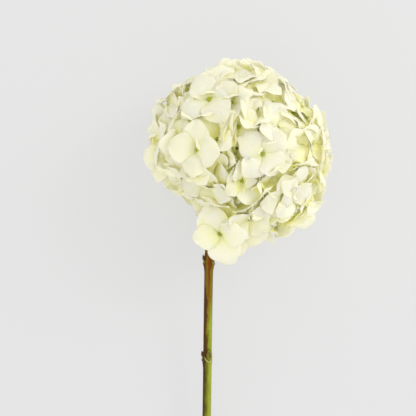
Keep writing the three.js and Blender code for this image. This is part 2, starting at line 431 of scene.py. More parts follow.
def sepal_normals(x, n):
    grid = x.reshape(-1, n, n, 3)
    return unit(np.cross(np.gradient(grid, axis=1), np.gradient(grid, axis=2))).reshape(-1, 3)


def sepal_pairs(points, floret_of, sepal_of, along):
    """Points of sepals that may touch, each pair both ways round, and which pairs lie in one floret."""
    i, j = close_pairs(points, PAIR_REACH)
    own = floret_of[i] == floret_of[j]
    outer = (along[i] > OUTER_PART) & (along[j] > OUTER_PART)
    neighbours = (sepal_of[i] - sepal_of[j]) % 2 != 0
    keep = (sepal_of[i] != sepal_of[j]) & (~own | (outer & neighbours))
    i, j, own = i[keep], j[keep], own[keep]
    return np.concatenate([i, j]), np.concatenate([j, i]), np.concatenate([own, own])


def push_apart(points, normal, pairs, inner_of, reach, contact):
    """Sepals of different florets keep apart, and a floret's inner pair stays above its outer pair."""
    i, j, own = pairs
    gap = contact * np.where(own, OWN_CONTACT, 1.0)
    rel = points[i] - points[j]
    h = (rel * normal[j]).sum(1)
    lateral = (rel * rel).sum(1) - h * h
    side = np.where(own, np.where(inner_of[i] > inner_of[j], 1.0, -1.0), np.where(h >= 0, 1.0, -1.0))
    depth = gap - h * side
    touch = (lateral < reach * reach) & (depth > 0) & (np.abs(h) < TOUCH_HEIGHT)
    i, j = i[touch], j[touch]
    push = (0.5 * depth[touch] * side[touch])[:, None] * normal[j]
    size = len(points)
    total = np.zeros_like(points)
    number = np.bincount(i, minlength=size) + np.bincount(j, minlength=size)
    for axis in range(3):
        total[:, axis] = np.bincount(i, push[:, axis], size) - np.bincount(j, push[:, axis], size)
    return points + total / np.maximum(number * PUSH_SHARING, 1.0)[:, None]


def stay_clear(points, stem_part, standing_out):
    """The points stay off the stem, above the table and near the head's outline."""
    for centre in stem_part:
        away = points - centre
        distance = np.linalg.norm(away, axis=1)
        inside = distance < STEM_CLEARANCE
        points[inside] += away[inside] * (STEM_CLEARANCE / distance[inside] - 1)[:, None]
    points[:, 2] = np.maximum(points[:, 2], TABLE_CLEARANCE)
    way = unit(points - HEAD_CENTRE)
    over = np.linalg.norm(points - HEAD_CENTRE, axis=1) - ball_radius(way)
    over = over - head_shape(way, [*LOBES, HANGING]) - standing_out
    return points - way * (OUTLINE_PULL * np.maximum(over, 0))[:, None]


def grow(ways, eyes, rolls, shape, firm, overhang):
    """The grown sepals' grids, and each floret's eye and turn. ways are the florets' facings."""
    count = len(ways)
    size = GRID * GRID
    east = unit(np.cross([0.0, 1.0, 0.0], ways))
    north = np.cross(ways, east)
    stand = np.stack([east, north, ways], 2)
    rests = opening(GRID, shape, rolls)
    along = np.tile(((disc(GRID)[0] + 1) / 2).ravel(), 4 * count)
    floret_of = np.repeat(np.arange(count), 4 * size)
    sepal_of = np.repeat(np.arange(4 * count), size)
    relax = smoothing(GRID, RELAX_ROUNDS, 0.5)
    base = (along < BASE_END).reshape(count, 4, size, 1)
    hold = np.where(base, HOLD_BASE, HOLD_BLADE)
    x = eyes[:, None, None, :] + np.einsum("fij,fkpj->fkpi", stand, rests[0] * START_SIZE)
    stem_part = stem_line(STEM_BEADS)[0][-BEADS_IN_HEAD:]
    for step in range(GROW_STEPS + SETTLE_STEPS):
        growth = smooth(step / GROW_STEPS)
        size_now = START_SIZE + (1 - START_SIZE) * growth
        key = (KEYS - 1) * smooth((step - OPENING_DELAY) / GROW_STEPS)
        low = min(int(key), KEYS - 2)
        q = (rests[low] + (key - low) * (rests[low + 1] - rests[low])) * size_now
        origin, turn = turn_florets(x, q, eyes, stand, firm)
        goal = origin[:, None, None] + np.einsum("fij,fkpj->fkpi", turn, q)
        x = bend_sepals(x + hold * (goal - x), q, origin, turn, relax)
        normal = sepal_normals(x, GRID)
        points = x.reshape(-1, 3).copy()
        if step % PAIR_STEPS == 0:
            pairs = sepal_pairs(points, floret_of, sepal_of, along)
        reach = REACH_GROWTH * size_now + REACH_START
        contact = CONTACT * (0.5 + 0.5 * growth)
        points = push_apart(points, normal, pairs, sepal_of % 2, reach, contact)
        x = stay_clear(points, stem_part, overhang[floret_of]).reshape(x.shape)
    return x.reshape(count, 4, GRID, GRID, 3), origin, turn


# ---------- meshes in the making

FIELDS = ("along", "rim", "fan", "depth", "tone")
UV_NAME = "OFBake"


class Piece:
    """Collects points with a few values each, and faces with UVs, into one mesh."""

    def __init__(self):
        self.points, self.corners, self.sizes, self.slots, self.uvs = [], [], [], [], []
        self.fields = {name: [] for name in FIELDS}
        self.count = 0

    def add(self, points, faces, slot=0, uvs=None, **fields):
        """faces is a list of index arrays, one for each number of corners, and uvs matches it."""
        for k, group in enumerate(faces):
            self.corners.append((group + self.count).ravel())
            self.sizes.append(np.full(len(group), group.shape[1]))
            self.slots.append(np.full(len(group), slot))
            self.uvs.append(np.zeros((group.size, 2)) if uvs is None else uvs[k].reshape(-1, 2))
        for name in FIELDS:
            self.fields[name].append(np.broadcast_to(fields.get(name, 0.0), (len(points),)))
        self.points.append(points)
        self.count += len(points)

    def make(self, name, materials, with_uv=False):
        points = np.concatenate(self.points) * MM
        corners, sizes = np.concatenate(self.corners), np.concatenate(self.sizes)
        mesh = bpy.data.meshes.new(name)
        mesh.vertices.add(len(points))
        mesh.vertices.foreach_set("co", points.astype(np.float32).ravel())
        mesh.loops.add(len(corners))
        mesh.loops.foreach_set("vertex_index", corners.astype(np.int32))
        mesh.polygons.add(len(sizes))
        mesh.polygons.foreach_set("loop_start", np.concatenate([[0], np.cumsum(sizes)[:-1]]).astype(np.int32))
        mesh.polygons.foreach_set("material_index", np.concatenate(self.slots).astype(np.int32))
        mesh.polygons.foreach_set("use_smooth", np.ones(len(sizes), bool))
        mesh.update(calc_edges=True)
        if with_uv:
            layer = mesh.uv_layers.new(name=UV_NAME)
            layer.uv.foreach_set("vector", np.concatenate(self.uvs).astype(np.float32).ravel())
        for field, values in self.fields.items():
            attribute = mesh.attributes.new(field, "FLOAT", "POINT")
            attribute.data.foreach_set("value", np.concatenate(values).astype(np.float32))
        for material in materials:
            mesh.materials.append(material)
        obj = in_scene(name, mesh)
        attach(obj, "root")
        return obj


def wrapped_grid(rings, sides):
    """Quads of a grid of closed rings, and their places in the unit square."""
    r, c = np.meshgrid(np.arange(rings - 1), np.arange(sides), indexing="ij")
    n = (c + 1) % sides
    low, high = r * sides, (r + 1) * sides
    quads = np.stack([low + c, low + n, high + n, high + c], -1).reshape(-1, 4)
    u = np.stack([c, c + 1, c + 1, c], -1).reshape(-1, 4) / sides
    v = np.stack([r, r, r + 1, r + 1], -1).reshape(-1, 4) / (rings - 1)
    return quads, np.stack([u, v], -1)


def end_fans(rings, sides):
    """Triangles that close both ends of a grid of rings, each round one more point."""
    first = np.arange(sides)
    last = (rings - 1) * sides + first
    low, high = rings * sides, rings * sides + 1
    return np.concatenate(
        [
            np.stack([np.roll(first, -1), first, np.full(sides, low)], -1),
            np.stack([last, np.roll(last, -1), np.full(sides, high)], -1),
        ]
    )


def small_triangles(count):
    """The same small triangle in the middle of the unit square for each face."""
    return np.full((count, 3, 2), 0.5) + np.array([[0, 0], [0.02, 0], [0, 0.02]])


def in_tile(uv, tile):
    x0, y0, x1, y1 = tile
    return np.array([x0, y0]) + uv * np.array([x1 - x0, y1 - y0])


def frames_along(path):
    """Two directions square to the path at each of its points, with no twist between them."""
    forward = unit(np.gradient(path, axis=0))
    side = np.empty_like(path)
    start = np.cross(forward[0], [0.0, 0.0, 1.0] if abs(forward[0][2]) < 0.9 else [1.0, 0.0, 0.0])
    for k, f in enumerate(forward):
        start = start - f * (start @ f)
        start = start / np.linalg.norm(start)
        side[k] = start
    return side, np.cross(forward, side)


def tube(path, radii, sides):
    """Points and faces of a closed tube, with its UVs in the unit square."""
    side, up = frames_along(path)
    turn = circle(sides)
    ring = side[:, None] * np.cos(turn)[None, :, None] + up[:, None] * np.sin(turn)[None, :, None]
    radii = np.asarray(radii, float).reshape(len(path), -1, 1)
    points = (path[:, None] + ring * radii).reshape(-1, 3)
    quads, uv = wrapped_grid(len(path), sides)
    ends = np.concatenate([points, path[:1], path[-1:]])
    tri = end_fans(len(path), sides)
    spot = np.stack([np.cos(turn), np.sin(turn)], -1) * 0.5 + 0.5
    tri_uv = np.concatenate([np.stack([np.roll(spot, -1, 0), spot, np.full((sides, 2), 0.5)], 1)] * 2)
    return ends, [quads, tri], [uv, tri_uv]


def bezier(a, b, c, d, steps):
    t = np.linspace(0, 1, steps)[:, None]
    return a * (1 - t) ** 3 + 3 * b * t * (1 - t) ** 2 + 3 * c * t * t * (1 - t) + d * t**3


# ---------- from the grown grid to a fine sepal

FINE = 19
SPREAD = spline_matrix(GRID, FINE)
FINE_ALONG, FINE_ACROSS = disc(FINE)
SPAN = np.linspace(-1, 1, FINE)
RIM = np.maximum(np.abs(SPAN)[:, None], np.abs(SPAN)[None, :])
FAN = np.arctan2(FINE_ACROSS, FINE_ALONG + 1.25)
SEPAL_THICKNESS = 0.34
LOWEST_SEPAL = 0.3
RIPPLES = ((0.6, 3.1), (0.5, 5.3), (0.3, 9.0))  # the rim's waves: height and how many in a radian
MIDRIB_DEPTH, MIDRIB_WIDTH = 0.10, 0.05
VEIN_HEIGHT, VEINS = 0.04, 22


def sheet(n):
    """Faces of a closed sheet, upper grid, lower grid and rim, and their places in the unit square."""
    index = np.arange(n * n).reshape(n, n)
    quads = np.stack([index[:-1, :-1], index[1:, :-1], index[1:, 1:], index[:-1, 1:]], -1).reshape(-1, 4)
    edge = np.concatenate([index[:-1, 0], index[-1, :-1], index[:0:-1, -1], index[0, :0:-1]])
    following = np.roll(edge, -1)
    rim = np.stack([following, edge, edge + n * n, following + n * n], -1)
    u, v = np.meshgrid(np.linspace(0, 1, n), np.linspace(0, 1, n), indexing="ij")
    place = np.stack([u, v], -1).reshape(-1, 2)
    outside = 0.03 + 0.94 * (place + (place - 0.5) * 0.04)
    inset = 0.04 + 0.92 * place
    rim_uv = np.stack([inset[rim[:, 0]], inset[rim[:, 1]], outside[edge], outside[following]], 1)
    return [quads, quads[:, ::-1] + n * n, rim], [inset[quads], inset[quads[:, ::-1]], rim_uv]


SHEET_FACES, SHEET_UVS = sheet(FINE)


def fine_sepal(coarse, waves):
    """The closed sheet of one sepal, with its wavy rim and the grooves of its veins."""
    points = np.einsum("au,bv,uvk->abk", SPREAD, SPREAD, coarse)
    points[..., 2] = np.maximum(points[..., 2], LOWEST_SEPAL)
    normal = unit(np.cross(np.gradient(points, axis=0), np.gradient(points, axis=1)))
    s = (FINE_ALONG + 1) / 2
    turn = np.arctan2(FINE_ACROSS, FINE_ALONG + 0.4)
    edge = RIM**3 * smooth(s * 2.2)
    ripple = sum(a * np.sin(k * turn + p) for (a, k), p in zip(RIPPLES, waves))
    veins = VEIN_HEIGHT * np.cos(FAN * VEINS) * smooth(s * 3) * (1 - RIM**4)
    grooves = -MIDRIB_DEPTH * bell(FAN, MIDRIB_WIDTH) + veins
    points = points + normal * (edge * ripple + grooves)[..., None]
    points[..., 2] = np.maximum(points[..., 2], LOWEST_SEPAL)
    thick = SEPAL_THICKNESS * (1 - 0.6 * RIM**3) * (1 - 0.25 * s)
    half = normal * thick[..., None] / 2
    return np.concatenate([(points + half).reshape(-1, 3), (points - half).reshape(-1, 3)])


# ---------- materials


class Nodes:
    """A material's nodes, made with few words."""

    def __init__(self, name, **shader_values):
        self.material = bpy.data.materials.new(name)
        self.material.use_nodes = True
        self.tree = self.material.node_tree
        self.shader = self.tree.nodes["Principled BSDF"]
        for key, value in shader_values.items():
            self.to(key.replace("_", " "), value)

    def node(self, kind, inputs=(), output=0, **settings):
        made = self.tree.nodes.new("ShaderNode" + kind)
        for key, value in settings.items():
            setattr(made, key, value)
        for key, value in dict(inputs).items():
            self.put(value, made.inputs[key])
        return made.outputs[output]

    def put(self, value, socket):
        if isinstance(value, bpy.types.NodeSocket):
            self.tree.links.new(value, socket)
        else:
            socket.default_value = (*value, 1.0) if socket.type == "RGBA" else value

    def fields(self, *names):
        made = [self.node("Attribute", output="Fac", attribute_name=name) for name in names]
        return made if len(made) > 1 else made[0]

    def math(self, operation, a, b=0.0):
        return self.node("Math", {0: a, 1: b}, operation=operation)

    def times(self, a, b):
        return self.math("MULTIPLY", a, b)

    def plus(self, a, b):
        return self.math("ADD", a, b)

    def ramp(self, value, low, high, to_high=1.0, to_low=0.0):
        inputs = {"Value": value, "From Min": low, "From Max": high, "To Min": to_low, "To Max": to_high}
        return self.node("MapRange", inputs, interpolation_type="SMOOTHSTEP")

    def mix(self, factor, a, b):
        made = self.tree.nodes.new("ShaderNodeMix")
        made.data_type = "RGBA"
        self.put(factor, made.inputs["Factor"])
        self.put(a, made.inputs[6])
        self.put(b, made.inputs[7])
        return made.outputs[2]

    def place(self, scale=(1, 1, 1)):
        at = self.node("TexCoord", output="Object")
        return self.node("Mapping", {"Vector": at, "Scale": scale})

    def noise(self, scale, detail=3.0):
        """Noise of this scale, or of one scale for each axis."""
        stretched = isinstance(scale, tuple)
        where = self.place(scale) if stretched else self.place()
        inputs = {"Scale": 1.0 if stretched else scale, "Detail": detail, "Vector": where}
        return self.node("TexNoise", inputs, output="Fac")

    def to(self, socket, value):
        self.put(value, self.shader.inputs[socket])

    def paint(self, body, *layers):
        """The base colour: each layer is how much of it covers those before it, and its colour."""
        for factor, shade in layers:
            body = self.mix(factor, body, shade)
        self.to("Base Color", body)

    def bump(self, height, strength, distance):
        inputs = {"Height": height, "Strength": strength, "Distance": distance}
        self.to("Normal", self.node("Bump", inputs, output="Normal"))


def sepal_look():
    m = Nodes("sepal", Subsurface_Weight=0.75, Subsurface_Radius=(1.0, 1.0, 0.95), Subsurface_Scale=0.0015)
    m.to("Specular IOR Level", 0.3)
    along, rim, fan, depth, tone = m.fields(*FIELDS)
    cream, pale_cream = (0.987, 0.917, 0.54), (0.992, 0.938, 0.63)
    cloud_cream, vein_green = (0.97, 0.917, 0.47), (0.90, 0.88, 0.34)
    base_green, inner_green_and_painted_shade = (0.88, 0.88, 0.22), (0.97, 0.955, 0.26)
    cloud = m.noise(120.0)
    wander = m.times(m.noise(260.0, 2.0), 3.0)
    veins = m.math("SINE", m.plus(m.times(fan, 46.0), wander))
    vein_line = m.times(m.ramp(veins, 0.55, 1.0), m.ramp(rim, 1.0, 0.7))
    m.paint(
        m.mix(tone, cream, pale_cream),
        (m.ramp(cloud, 0.35, 0.7, 0.4), cloud_cream),
        (m.times(vein_line, 0.38), vein_green),
        (m.ramp(along, 0.45, 0.0, 0.75), base_green),
        # Partly the inner sepals' own greener colour, partly painted shade: yellow-green where a sepal lies
        # deep in the head or under other sepals
        (m.ramp(depth, 0.0, 0.8, 0.9), inner_green_and_painted_shade),
    )
    m.to("Roughness", m.ramp(cloud, 0.3, 0.7, 0.64, 0.5))
    cells = {"Scale": 700.0, "Vector": m.place()}
    net = m.node("TexVoronoi", cells, output="Distance", feature="DISTANCE_TO_EDGE")
    net_height = m.times(m.ramp(net, 0.0, 0.12), 0.35)
    height = m.plus(m.times(veins, -0.5), net_height)
    m.bump(height, 0.45, 0.00014)
    return m.material


def eye_look():
    m = Nodes("eye", Roughness=0.45, Specular_IOR_Level=0.15, Subsurface_Weight=0.1, Subsurface_Scale=0.001)
    along, tone = m.fields("along", "tone")
    olive, green = (0.19, 0.23, 0.0005), (0.27, 0.32, 0.001)
    foot_green, fleck_olive = (0.33, 0.4, 0.006), (0.15, 0.16, 0.001)
    m.paint(
        m.mix(tone, olive, green),
        (m.ramp(along, 0.55, 0.1, 0.8), foot_green),
        (m.ramp(m.noise(900.0), 0.4, 0.7, 0.4), fleck_olive),
    )
    m.bump(m.noise(1500.0), 0.3, 0.0001)
    return m.material


def stalk_look(name, root, tip):
    """A green stalk that changes from its root's colour to its tip's."""
    m = Nodes(name, Roughness=0.5, Subsurface_Weight=0.15, Subsurface_Scale=0.001)
    streaks = m.noise((900, 900, 260))
    streak_colour = (root[0] * 0.7, root[1] * 0.75, root[2] * 0.6)
    body = m.mix(m.fields("along"), root, tip)
    m.paint(body, (m.ramp(streaks, 0.4, 0.75, 0.5), streak_colour))
    m.bump(streaks, 0.35, 0.0002)
    return m.material


SEPAL, EYE = sepal_look(), eye_look()
PEDICEL = stalk_look("pedicel", (0.38, 0.45, 0.072), (0.67, 0.69, 0.28))
BRANCH = stalk_look("branch", (0.24, 0.3, 0.029), (0.4, 0.47, 0.078))

# ---------- the head's branches

HUB = HEAD_CENTRE + STEM_COURSE[-1]
ways, facings, eyes, rolls, sizes, firm = place_florets()
count = len(ways)
cad_count = len(FLORET_NODES)
RAY_NODES = sorted(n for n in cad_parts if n.startswith("ray_"))
ray_points = {n: node_points(n) for n in RAY_NODES}
cad_ends = HEAD_CENTRE + ways[:cad_count] * PEDICEL_INNER


def nearest_ray(point):
    return min(RAY_NODES, key=lambda n: np.linalg.norm(ray_points[n] - point, axis=1).min())


ray_of = [nearest_ray(p) for p in cad_ends]
branch_of = [int((ways[:cad_count] @ way).argmax()) for way in ways]
TWIG_BEND = PEDICEL_INNER - 24.0
TWIG_END = PEDICEL_INNER - 4.0
PATH_STEPS = 12
STALK_RADIUS, STALK_SIDES = 1.9, 14
TWIG_RADII, TWIG_KNOB, TWIG_SIDES = (1.35, 1.0), 0.35, 10


def twig_path(fork, k):
    bend = HEAD_CENTRE + ways[k] * TWIG_BEND
    end = HEAD_CENTRE + ways[k] * TWIG_END
    return bezier(fork, fork + 0.6 * (bend - fork), bend, end, PATH_STEPS)


def build_branches():
    """Each main branch with its twigs as one piece. Returns the twigs' paths."""
    paths = {}
    t = np.linspace(0, 1, PATH_STEPS)
    stalk_radii = STALK_RADIUS + 0.5 * bell(t - 1, 0.12) + 0.5 * bell(t, 0.15)
    twig_radii = np.linspace(*TWIG_RADII, PATH_STEPS)
    twig_radii[-1] += TWIG_KNOB
    twig_along = np.append(np.repeat(np.linspace(0.2, 1, PATH_STEPS), TWIG_SIDES), [0.2, 1])
    for name in RAY_NODES:
        members = [k for k in range(cad_count) if ray_of[k] == name]
        fork = HUB + 0.5 * (cad_ends[members].mean(0) - HUB)
        stalk = bezier(HUB, HUB + 0.3 * (fork - HUB), HUB + 0.7 * (fork - HUB), fork, PATH_STEPS)
        piece = Piece()
        points, faces, _ = tube(stalk, stalk_radii, STALK_SIDES)
        piece.add(points, faces)
        for k in members:
            paths[k] = twig_path(fork, k)
            points, faces, _ = tube(paths[k], twig_radii, TWIG_SIDES)
            piece.add(points, faces, along=twig_along)
        obj = piece.make(name + "_branches", [BRANCH])
        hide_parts(name)
    return paths


paths = build_branches()

# ---------- stem and buds

# The stem's nodes: how far below the hub, and at which turn in degrees each bud sits.
NODES_BELOW_HUB = {
    "upper": (66, {"left": -92, "right": 84}),
    "middle": (158, {"left": -105, "front": 16}),
    "lower": (254, {"left": -78, "right": 100}),
}
CUT_SLANT, CUT_REACH = math.radians(38), 14.0
STEM_SIDES = 64
END_RINGS = 14
SCAR_DOTS = (-0.45, 0.0, 0.45)
# Each bud's length, radius, lean in degrees and tone, and how much its leaf scar shows.
BUDS = {
    "left": (6.6, 1.6, 13, 0.2, 0.35),
    "right": (7.4, 1.55, 5, 0.1, 0.35),
    "front": (7.6, 1.75, 0, 0.7, 0.9),
}
BUD_RINGS, BUD_SIDES = 40, 32


def stem_look():
    m = Nodes("stem_bark", Specular_IOR_Level=0.04)
    along, turn, scar, mark = m.fields("along", "fan", "depth", "tone")
    grain = m.noise((2400, 130, 2400), 4.0)
    blotch = m.noise((300, 60, 300))
    wander = m.plus(turn, m.times(m.math("SUBTRACT", blotch, 0.5), 0.5))
    green = m.mix(m.ramp(along, 0.61, 0.71), (0.22, 0.28, 0.012), (0.125, 0.088, 0.0005))
    olive = m.mix(m.ramp(along, 0.52, 0.7), (0.062, 0.058, 0.0004), (0.14, 0.05, 0.0002))
    brown = m.mix(m.ramp(along, 0.5, 0.6), (0.022, 0.007, 0.00018), (0.032, 0.0049, 0.00018))
    red, speck_brown = (0.1, 0.009, 0.0001), (0.029, 0.007, 0.0013)
    dark_grain, light_grain = (0.046, 0.032, 0.0021), (0.26, 0.27, 0.02)
    scar_cream, mark_brown = (0.36, 0.34, 0.059), (0.013, 0.0043, 0.00086)
    shift = m.plus(m.ramp(along, 0.49, 0.53, 0.13), m.ramp(along, 0.66, 0.74, -0.25))
    edge = m.math("SUBTRACT", wander, shift)
    stripe = m.times(m.ramp(wander, -0.07, 0.0), m.ramp(wander, 0.22, 0.12))
    stripe = m.times(stripe, m.ramp(m.plus(along, m.times(blotch, 0.1)), 0.68, 0.82))
    specks = m.node("TexVoronoi", {"Scale": 1.0, "Vector": m.place((900, 260, 900))}, output="Distance")
    m.paint(
        m.mix(m.ramp(wander, -0.14, 0.24), olive, green),
        (m.ramp(edge, -0.10, -0.23, 0.97), brown),
        (m.ramp(wander, 0.55, 0.95, 0.7), olive),
        (m.times(stripe, 0.95), red),
        (m.ramp(grain, 0.42, 0.72, 0.45), dark_grain),
        (m.ramp(grain, 0.45, 0.28, 0.12), light_grain),
        (m.times(m.ramp(specks, 0.2, 0.1), 0.7), speck_brown),
        (scar, scar_cream),
        (mark, mark_brown),
    )
    m.to("Roughness", m.ramp(grain, 0.3, 0.7, 0.65, 0.5))
    m.bump(m.plus(grain, m.times(m.ramp(specks, 0.05, 0.22), -0.5)), 0.5, 0.00025)
    return m.material


def cut_look():
    m = Nodes("stem_cut", Roughness=0.75, Subsurface_Weight=0.2, Subsurface_Scale=0.001)
    out = m.fields("rim")
    pith, wood = (0.77, 0.73, 0.52), (0.47, 0.46, 0.16)
    bark_green, grain_brown = (0.2, 0.26, 0.035), (0.4, 0.34, 0.13)
    grain = m.noise(1500.0)
    m.paint(
        m.mix(m.ramp(out, 0.45, 0.55), pith, wood),
        (m.ramp(out, 0.80, 0.90), bark_green),
        (m.ramp(grain, 0.4, 0.7, 0.5), grain_brown),
    )
    m.bump(grain, 0.6, 0.0003)
    return m.material


def bud_look():
    m = Nodes("bud_scales", Roughness=0.5, Specular_IOR_Level=0.06)
    along, seam, tone = m.fields("along", "depth", "tone")
    red, olive = (0.065, 0.01, 0.0005), (0.12, 0.12, 0.004)
    foot_green, tip_brown = (0.11, 0.12, 0.006), (0.017, 0.0036, 0.00049)
    grain_brown, seam_brown = (0.04, 0.013, 0.0021), (0.007, 0.0029, 0.00049)
    grain = m.noise((1800, 500, 1800))
    m.paint(
        m.mix(tone, red, olive),
        (m.ramp(along, 0.35, 0.0, 0.8), foot_green),
        (m.ramp(along, 0.7, 1.0, 0.85), tip_brown),
        (m.ramp(grain, 0.4, 0.7, 0.45), grain_brown),
        (seam, seam_brown),
    )
    m.bump(grain, 0.4, 0.0002)
    return m.material


def stem_runs(total, marks):
    """Where the stem's rings lie along it, closer together at its ends and nodes."""
    runs = [np.arange(0, 12, 0.6), np.arange(12, total, 1.6), np.arange(total - 12, total + 0.1, 0.6)]
    runs += [np.arange(at - 9, at + 8, 0.3) for at in marks]
    runs = np.unique(np.concatenate(runs).round(2))
    return runs[np.concatenate([[True], np.diff(runs) > 0.2])]


def stem_profile(s, t, total, marks):
    """The stem's radius, leaf scars and dark marks at each run s and turn t."""
    radius = STEM_RADIUS + 0.3 * smooth((s - 12) / 30) + 0.05 * np.sin(5 * t + 0.01 * s)
    radius = radius + 0.03 * np.sin(11 * t + 2) + 0.06 * np.sin(s * 0.05 + t)
    scar = np.zeros_like(s)
    dark = np.zeros_like(s)
    for at, (_, buds) in zip(marks, NODES_BELOW_HUB.values()):
        swelling, ring = bell(s - at + 1.5, 5.5), bell(s - at + 3.6 - 0.8 * np.cos(2 * t), 0.55)
        radius = radius + 0.55 * swelling + 0.15 * ring
        for name, degrees in buds.items():
            off = (t - math.radians(degrees) + math.pi) % (2 * math.pi) - math.pi
            curve = s - at + 3.6 - 3.4 * (off / 0.85) ** 2
            ridge = bell(curve, 0.75) * smooth((0.95 - np.abs(off)) / 0.25)
            below, above = np.minimum(s - at + 1.5, 0), np.maximum(s - at + 1.5, 0)
            shoulder = bell(below, 6.5) * bell(above, 2.0) * bell(off, 0.55)
            pit = bell(s - at + 0.2, 1.3) * bell(off, 0.38)
            radius = radius + 0.9 * shoulder + 0.5 * ridge - 0.4 * pit
            scar = np.maximum(scar, smooth(ridge * 1.3) * BUDS[name][4])
            around = np.hypot((s - at - 2.6) / 4.9, off * STEM_RADIUS / 2.3)
            dark = np.maximum(dark, 0.85 * bell(around - 1, 0.16))
            radius = radius - 0.25 * bell(around - 1, 0.2)
            for dot in SCAR_DOTS:
                dark = np.maximum(dark, 0.8 * bell(off - dot, 0.07) * bell(curve, 0.3))
    return radius + (HUB_RADIUS - STEM_RADIUS) * smooth((s - total + 9) / 8), scar, dark


def add_stem_end(bark, ring, inner, forward, turn, at_hub):
    """Closes the stem at one ring: with a dome at the hub, with the pale cut face at its foot."""
    shrink = np.linspace(1, 0.04, END_RINGS)
    rings = inner + (ring[None] - inner) * shrink[:, None, None]
    if at_hub:
        rise = HUB_RADIUS * np.sqrt(1 - shrink**2)
    else:
        rise = 0.25 * bell(shrink - 0.48, 0.12) - 0.2 * bell(shrink, 0.4)
    rings = rings + forward * rise[:, None, None]
    quads, _ = wrapped_grid(END_RINGS, STEM_SIDES)
    last = np.arange((END_RINGS - 1) * STEM_SIDES, END_RINGS * STEM_SIDES)
    tri = np.stack([last, np.roll(last, -1), np.full(STEM_SIDES, END_RINGS * STEM_SIDES)], -1)
    faces = [quads[:, ::-1], tri[:, ::-1]] if at_hub else [quads, tri]
    spot = np.stack([np.cos(turn), np.sin(turn)], -1)[None] * shrink[:, None, None] * 0.5 + 0.5
    flat = np.concatenate([spot.reshape(-1, 2), [[0.5, 0.5]]])
    tile = (0.21, 0.82, 0.37, 0.98) if at_hub else (0.01, 0.82, 0.17, 0.98)
    uvs = [in_tile(flat[face], tile) for face in faces]
    cap = np.concatenate([rings.reshape(-1, 3), [rings[-1].mean(0)]])
    rim = np.append(np.repeat(shrink, STEM_SIDES), 0)
    bark.add(cap, faces, 0 if at_hub else 1, uvs, rim=rim, along=float(at_hub), fan=0.2)


def bud_seam(name, along, turn, outer):
    """Where a bud's scales meet. outer is 1 on the outer scales."""
    if name == "front":
        return bell(turn - math.pi + 0.35, 0.3) * bell(along - 0.5, 0.26)
    upright = bell(turn - math.pi - 0.3, 0.24) * (1 - outer)
    return upright + 0.8 * bell(along - 0.60 + 0.12 * np.cos(2 * turn), 0.03)


def build_bud(node, name, at, forward, outward, look):
    """One bud at its node, where forward is up the stem and outward is away from it."""
    length, thick, lean, tone, _ = BUDS[name]
    across = np.cross(forward, outward)
    axis = forward * math.cos(math.radians(lean)) + outward * math.sin(math.radians(lean))
    face = np.cross(across, axis)
    base = at + outward * (STEM_RADIUS + 0.45) + forward * -1.2
    along, turn = np.meshgrid(np.linspace(0, 1, BUD_RINGS), circle(BUD_SIDES), indexing="ij")
    wide = np.sin(np.clip(along * 1.02 + 0.03, 0, 1) ** 0.8 * math.pi) ** 0.75 + 0.03
    outer = smooth((0.62 - along - 0.12 * np.cos(2 * turn)) / 0.06)
    seam = bud_seam(name, along, turn, outer)
    r = thick * wide * (1 + 0.16 * outer - 0.14 * seam)
    points = base + (axis * length * along[..., None])
    points = points + face * (r * np.cos(turn) * -0.8)[..., None]
    points = points + across * (r * np.sin(turn) * 1.08)[..., None]
    points = np.concatenate([points.reshape(-1, 3), [points[0].mean(0), points[-1].mean(0)]])
    quads, uv = wrapped_grid(BUD_RINGS, BUD_SIDES)
    tri = end_fans(BUD_RINGS, BUD_SIDES)
    uvs = [in_tile(uv, (0, 0, 1, 0.9)), in_tile(small_triangles(len(tri)), (0.4, 0.92, 0.6, 1.0))]
    depth = np.append(np.clip(seam, 0, 1).ravel(), [0, 0])
    bud = Piece()
    bud.add(points, [quads, tri], 0, uvs, along=np.append(along.ravel(), [0, 1]), depth=depth, tone=tone)
    obj = bud.make(f"bud_{node}_{name}_scales", [look], with_uv=True)
    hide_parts(f"bud_{node}_{name}")


def build_stem():
    total = stem_line(2)[1]
    marks = [total - distance for distance, _ in NODES_BELOW_HUB.values()]
    runs = stem_runs(total, marks)
    line, _ = stem_line(runs)
    forward = unit(np.gradient(line, axis=0))
    side = unit(np.cross(forward, [0, 0, 1.0]))
    up = np.cross(side, forward)
    turn = circle(STEM_SIDES) - math.pi
    s, t = np.meshgrid(runs, turn, indexing="ij")
    radius, scar, dark = stem_profile(s, t, total, marks)
    slant = radius * np.cos(t) * math.tan(CUT_SLANT) * np.maximum(0, 1 - s / CUT_REACH)
    points = line[:, None] + side[:, None] * (radius * np.sin(t))[..., None]
    points = points + up[:, None] * (radius * np.cos(t))[..., None]
    points = points + forward[:, None] * slant[..., None]
    fields = {"along": s / total, "fan": t / math.pi, "depth": scar, "tone": dark}
    fields = {name: values.ravel() for name, values in fields.items()}
    bark = Piece()
    quads, uv = wrapped_grid(len(runs), STEM_SIDES)
    uvs = [in_tile(uv[..., ::-1][:, ::-1], (0.0, 0.0, 1.0, 0.8))]
    bark.add(points.reshape(-1, 3), [quads[:, ::-1]], 0, uvs, **fields)
    add_stem_end(bark, points[0], line[0], forward[0], turn, at_hub=False)
    add_stem_end(bark, points[-1], HUB, forward[-1], turn, at_hub=True)
    obj = bark.make("stem_fine", [stem_look(), cut_look()], with_uv=True)
    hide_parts("stem")
    look = bud_look()
    for (node, (_, buds)), at in zip(NODES_BELOW_HUB.items(), marks):
        k = int(np.abs(runs - at).argmin())
        for name, degrees in buds.items():
            outward = side[k] * math.sin(math.radians(degrees)) + up[k] * math.cos(math.radians(degrees))
            build_bud(node, name, line[k], forward[k], outward, look)


build_stem()

# ---------- the florets

INNER_LIFT = 0.7  # the inner pair of sepals sits this much higher


